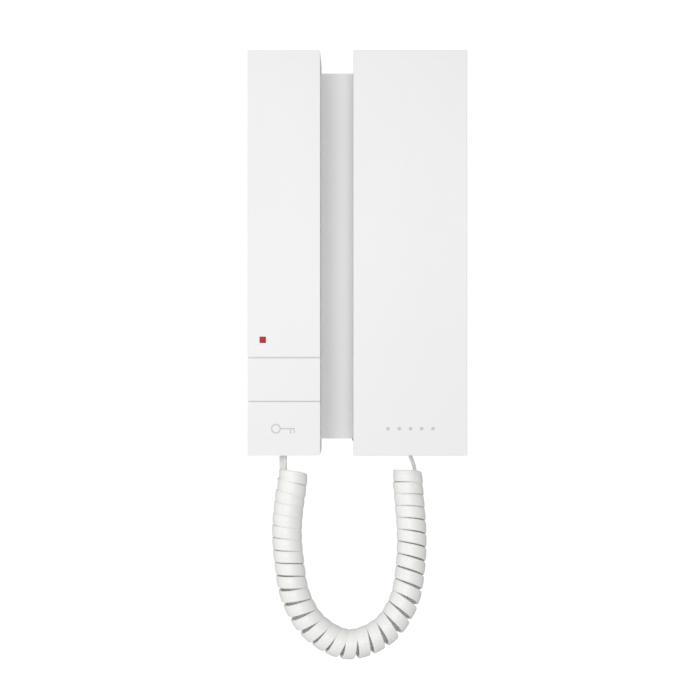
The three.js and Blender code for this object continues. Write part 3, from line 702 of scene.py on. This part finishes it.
def strip(name, body, levels, depths):
    """A light strip in a groove, from side to side of the column, that fills part of its height."""
    sides = [corner.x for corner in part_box("key_upper")]
    low, high = levels
    rows = []
    for depth, inset in zip(depths, (0.0, 0.0, STRIP_EDGE)):
        y = KEY_FACE + depth
        foot, head = low + inset, high - inset
        corners = ((sides[0], foot), (sides[1], foot), (sides[1], head), (sides[0], head))
        rows.append([Vector((x, y, z)) for x, z in corners])
    new_piece(name, skin(name, rows), body, "shell")


def make_strips():
    """What shows down in the grooves: a rib of the pin frame, and the keys' own stepped edges."""
    low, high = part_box("key_upper")
    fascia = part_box("column_fascia")[0].z
    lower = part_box("key_lower")[1].z
    middle = (low.z + lower) / 2
    rib = (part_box("key_frame")[0].y - KEY_FACE, RIB_DEPTH + STRIP_EDGE, RIB_DEPTH)
    step = (STEP_DEPTH + STEP_THICKNESS, STEP_DEPTH + STRIP_EDGE, STEP_DEPTH)
    strip("groove_rib", "base", (high.z + STRIP_EDGE, fascia - STRIP_EDGE), rib)
    strip("upper_key_step", "upper_key", (middle + STRIP_EDGE / 2, low.z + STRIP_EDGE), step)
    strip("lower_key_step", "lower_key", (lower - STRIP_EDGE, middle - STRIP_EDGE / 2), step)


def make_lens():
    """The red light's lens: a square with soft corners and a crowned face."""
    low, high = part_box("led_lens")
    half = (high.x - low.x) / 2 + LENS_MARGIN
    middle = Vector(((low.x + high.x) / 2, low.y, (low.z + high.z) / 2))
    square = loop_of(LENS_POINTS, LENS_SQUARENESS)
    rows = [
        [middle + half * reach * way - stand_out(LENS_DEPTH * deep) for way in square]
        for reach, deep in LENS_OUTLINE
    ]
    lens = new_piece("red_lens", skin("red_lens", rows), "base", "lens")
    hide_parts("led_lens")


make_key_symbol()
make_handset_dots()
make_lens()
make_strips()

# ------------------------------------------------------------------ floor and light

FLOOR_DROP = 0.055  # below the cord
FLOOR_BACK = 0.1  # its rear edge, behind the wall plane
FLOOR_RADIUS = 0.5
FLOOR_SIDES = 96


def make_floor():
    """A round pale floor, low enough that the main view passes over it."""
    bpy.ops.mesh.primitive_circle_add(
        vertices=FLOOR_SIDES,
        radius=FLOOR_RADIUS,
        fill_type="NGON",
        location=(CAMERA_X, FLOOR_BACK - FLOOR_RADIUS, cad_low.z - FLOOR_DROP),
    )
    floor = bpy.context.object
    floor.name = "floor"
    material, tree, shader, place = new_material("floor")
    tint = ramp(tree, noise(tree, place, 3.0), [(0.3, (0.86, 0.86, 0.86)), (0.7, (0.89, 0.89, 0.89))])
    tree.links.new(tint, shader.inputs["Base Color"])
    shader.inputs["Roughness"].default_value = 0.7
    floor.data.materials.append(material)


LIGHTS = ((60, 5, 1.4), (18, 6, 2.3), (-4, 5, 2.0), (15, 60, 0.6))  # azimuth, elevation, watts
LIGHT_DISTANCE = 1.1
LIGHT_SIZE = 0.35
LIT_POINT = Vector((0.0, -0.02, -0.05))


def make_light(name, azimuth, elevation, power):
    """A square panel that faces the object: azimuth in degrees to the left of the front, watts of power."""
    left, up = math.radians(azimuth), math.radians(elevation)
    way = Vector((-math.sin(left) * math.cos(up), -math.cos(left) * math.cos(up), math.sin(up)))
    data = bpy.data.lights.new(name, "AREA")
    data.size = LIGHT_SIZE
    data.energy = power
    light = bpy.data.objects.new(name, data)
    light.location = LIT_POINT + LIGHT_DISTANCE * way
    light.rotation_euler = way.to_track_quat("Z", "Y").to_euler()
    scene.collection.objects.link(light)


def make_world(seen, lit):
    """A plain white surrounding, which lights the object less than it shows."""
    world = bpy.data.worlds.new("studio")
    world.use_nodes = True
    tree = world.node_tree
    background = tree.nodes["Background"]
    background.inputs["Color"].default_value = (1, 1, 1, 1)
    ray = tree.nodes.new("ShaderNodeLightPath")
    strength = tree.nodes.new("ShaderNodeMapRange")
    strength.inputs["To Min"].default_value = lit
    strength.inputs["To Max"].default_value = seen
    tree.links.new(ray.outputs["Is Camera Ray"], strength.inputs["Value"])
    tree.links.new(strength.outputs["Result"], background.inputs["Strength"])
    scene.world = world


make_floor()
make_world(seen=1.05, lit=0.47)
for number, (azimuth, elevation, power) in enumerate(LIGHTS):
    make_light(f"panel_{number + 1}", azimuth, elevation, power)
scene.view_settings.view_transform = "Standard"
